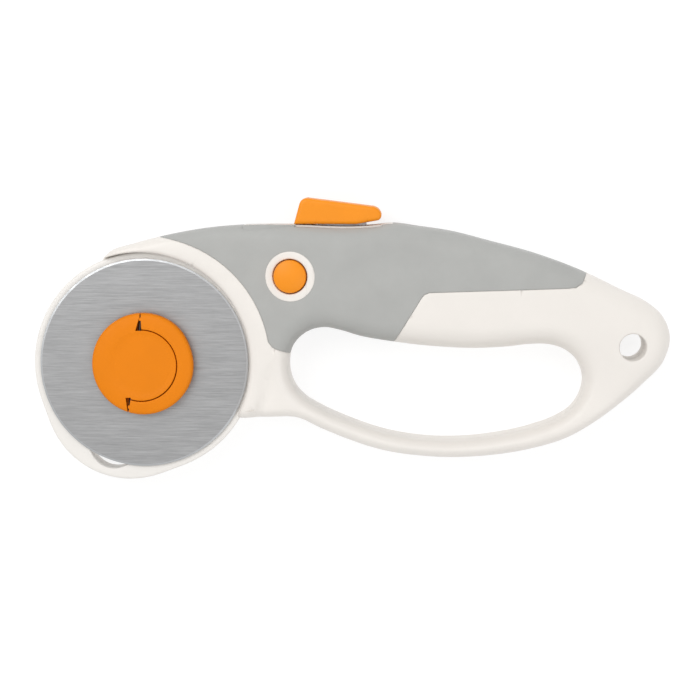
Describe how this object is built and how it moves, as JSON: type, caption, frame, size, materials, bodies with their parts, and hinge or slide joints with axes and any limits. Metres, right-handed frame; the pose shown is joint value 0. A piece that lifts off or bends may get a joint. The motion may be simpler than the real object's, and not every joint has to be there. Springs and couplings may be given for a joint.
{
  "type": "rotary cutter",
  "caption": "Hand-held rotary cutter: round steel blade on a retracting carriage, thumb slide, lock button, unscrewing hub knob with flip-up bail, and closed loop handle.",
  "frame": {"origin": "centre of the cutter's outline, on the plane its back rests on", "axes": "+X along the tool from the blade to the tail, +Y from the finger loop to the thumb slide, +Z from the back to the blade side, along the blade's axle"},
  "size_m": [0.1832, 0.0814, 0.0224],
  "materials": {
    "white_plastic": "satin moulded hard plastic",
    "guard_white": "satin moulded hard plastic",
    "soft_grip": "matt soft overmould",
    "orange_plastic": "satin moulded hard plastic",
    "black_plastic": "matt",
    "blade_steel": "brushed in one direction, ground edge",
    "bright_steel": "turned",
    "screw_steel": "zinc plated",
    "brass": "machined brass"
  },
  "bodies": {
    "handle": {"front_shell": "white_plastic", "rear_shell": "white_plastic", "front_grip": "soft_grip", "rear_grip": "soft_grip", "guard_plate": "guard_white", "lock_spring": "bright_steel", "housing_screw_1": "screw_steel", "housing_screw_2": "screw_steel", "housing_screw_3": "screw_steel", "housing_screw_4": "screw_steel", "housing_screw_5": "screw_steel", "guard_screw_1": "screw_steel", "guard_screw_2": "screw_steel", "guard_screw_3": "screw_steel"},
    "slide": {"thumb_slide": "orange_plastic", "drive_plate": "bright_steel", "drive_pin": "bright_steel"},
    "carriage": {"blade_carriage": "black_plastic", "axle_bolt": "bright_steel"},
    "blade": {"blade": "blade_steel"},
    "washer": {"spring_washer": "bright_steel"},
    "knob": {"knob": "orange_plastic", "knob_insert": "brass", "bail_pin_upper": "bright_steel", "bail_pin_lower": "bright_steel"},
    "bail": {"bail": "orange_plastic"},
    "button": {"lock_button": "orange_plastic", "lock_collar": "bright_steel"}
  },
  "joints": [
    {"name": "thumb_slide_travel", "type": "slide", "parent": "handle", "child": "slide", "axis": [-1, 0, 0], "range_m": [0, 0.0145]},
    {"name": "blade_advance", "type": "slide", "parent": "handle", "child": "carriage", "axis": [-0.3561, -0.9344, 0], "range_m": [0, 0.01745]},
    {"name": "blade_spin", "type": "hinge", "parent": "carriage", "child": "blade", "pos_m": [-0.0597, -0.00677, 0.01525], "axis": [0, 0, 1], "continuous": true},
    {"name": "washer_lift", "type": "slide", "parent": "carriage", "child": "washer", "axis": [0, 0, 1], "range_m": [0, 0.0016]},
    {"name": "knob_unscrew", "type": "hinge", "parent": "washer", "child": "knob", "pos_m": [-0.0597, -0.00677, 0.0186], "axis": [0, 0, 1], "range_deg": [0, 720]},
    {"name": "bail_flip", "type": "hinge", "parent": "knob", "child": "bail", "pos_m": [-0.06176, -0.0065, 0.0192], "axis": [-0.1323, -0.9912, 0], "range_deg": [0, 90]},
    {"name": "lock_button_press", "type": "slide", "parent": "handle", "child": "button", "axis": [0, 0, -1], "range_m": [0, 0.0025], "stiffness_N_per_m": 300, "springref_m": -0.001, "deforming": ["lock_spring"]}
  ],
  "couplings": [
    {"joint": "blade_advance", "follows": "thumb_slide_travel", "ratio": 1.2},
    {"joint": "knob_unscrew", "follows": "washer_lift", "rad_per_m": 7854}
  ]
}
